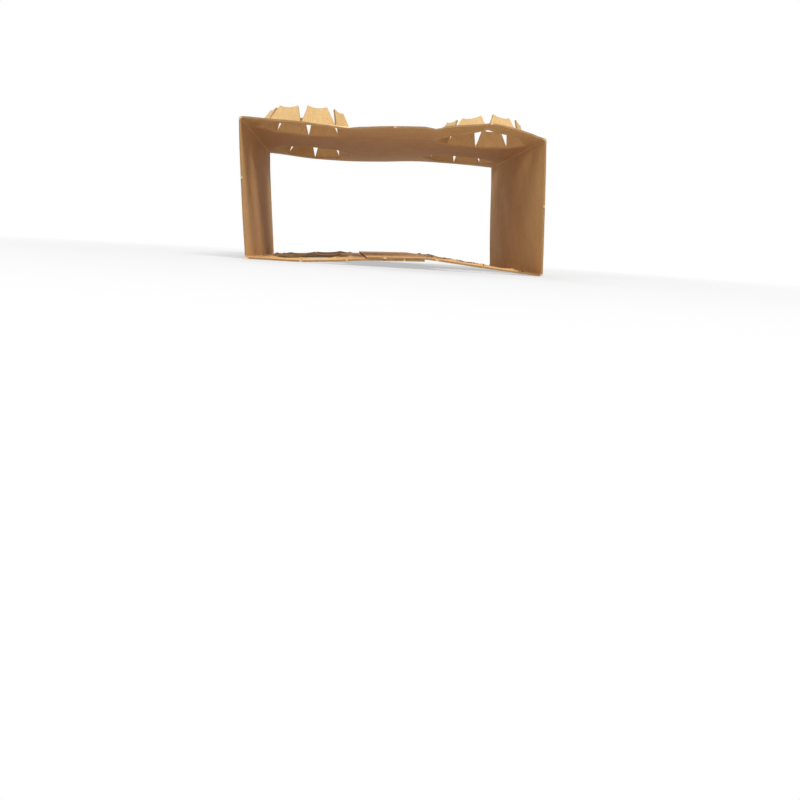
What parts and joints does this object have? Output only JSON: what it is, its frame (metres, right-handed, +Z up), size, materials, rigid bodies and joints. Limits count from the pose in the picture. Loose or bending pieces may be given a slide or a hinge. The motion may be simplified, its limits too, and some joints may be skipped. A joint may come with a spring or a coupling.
{
  "type": "bottle carrier",
  "caption": "Sleeve-shaped bottle carrier folded from one kraft board sheet, with star-cut neck collars in its top panel and an overlapped, glued floor.",
  "frame": {"origin": "middle of the carrier's footprint, at the level of its two bottom folds", "axes": "+Z up through the collars, +X across from the left to the right side wall, front edge towards -Y"},
  "size_m": [0.1088, 0.1062, 0.0557],
  "materials": {
    "kraft_board": "uncoated brown kraft board, matt, with fine fibres and pale cut edges"
  },
  "bodies": {
    "root": {"carrier": "kraft_board"}
  },
  "joints": []
}
